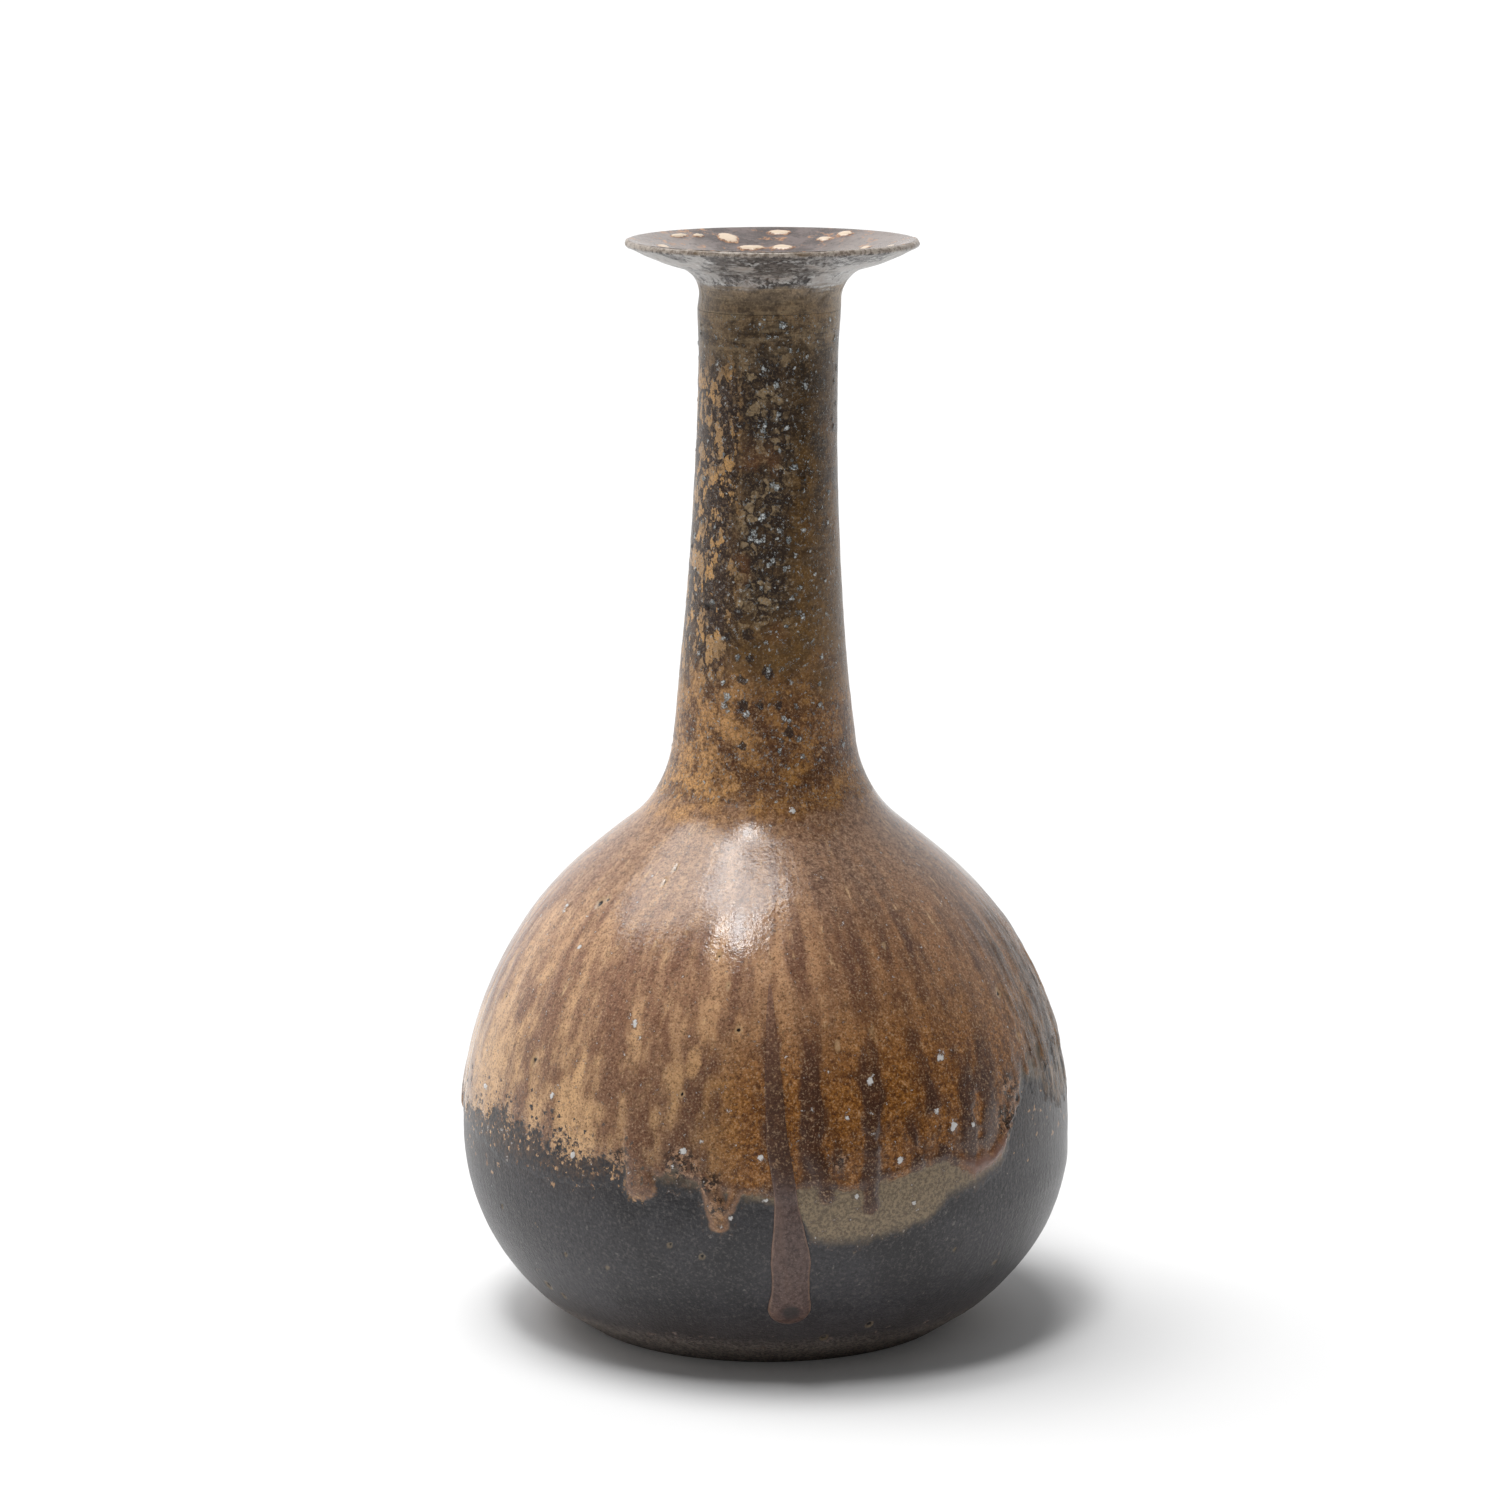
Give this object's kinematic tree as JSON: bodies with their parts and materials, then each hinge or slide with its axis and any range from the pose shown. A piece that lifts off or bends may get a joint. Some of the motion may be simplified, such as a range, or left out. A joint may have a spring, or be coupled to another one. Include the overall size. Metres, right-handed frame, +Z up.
{
  "type": "sake bottle",
  "caption": "Long-necked stoneware sake bottle: round belly on a flat foot, tapering neck, flared dish mouth, ragged ash-glaze edge with a long run down the front.",
  "frame": {"origin": "centre of the flat resting face under the foot, at the level of the table", "axes": "+Z up along the bottle's turning axis, out of the mouth; -Y is the front, where the long glaze run is"},
  "size_m": [0.1248, 0.1249, 0.22],
  "materials": {
    "stoneware": "bare dark wood-fired clay, satin and slightly rough, finely speckled",
    "glazed_stoneware": "dark clay under a thin uneven film of brown to olive ash glass",
    "ash_glaze": "glossy brown and ochre natural ash glass with streaks and runs"
  },
  "bodies": {
    "root": {"body": "stoneware", "neck": "glazed_stoneware", "mouth": "glazed_stoneware", "body_glaze": "ash_glaze", "mouth_glaze": "ash_glaze", "long_run": "ash_glaze", "short_runs": "ash_glaze"}
  },
  "joints": []
}
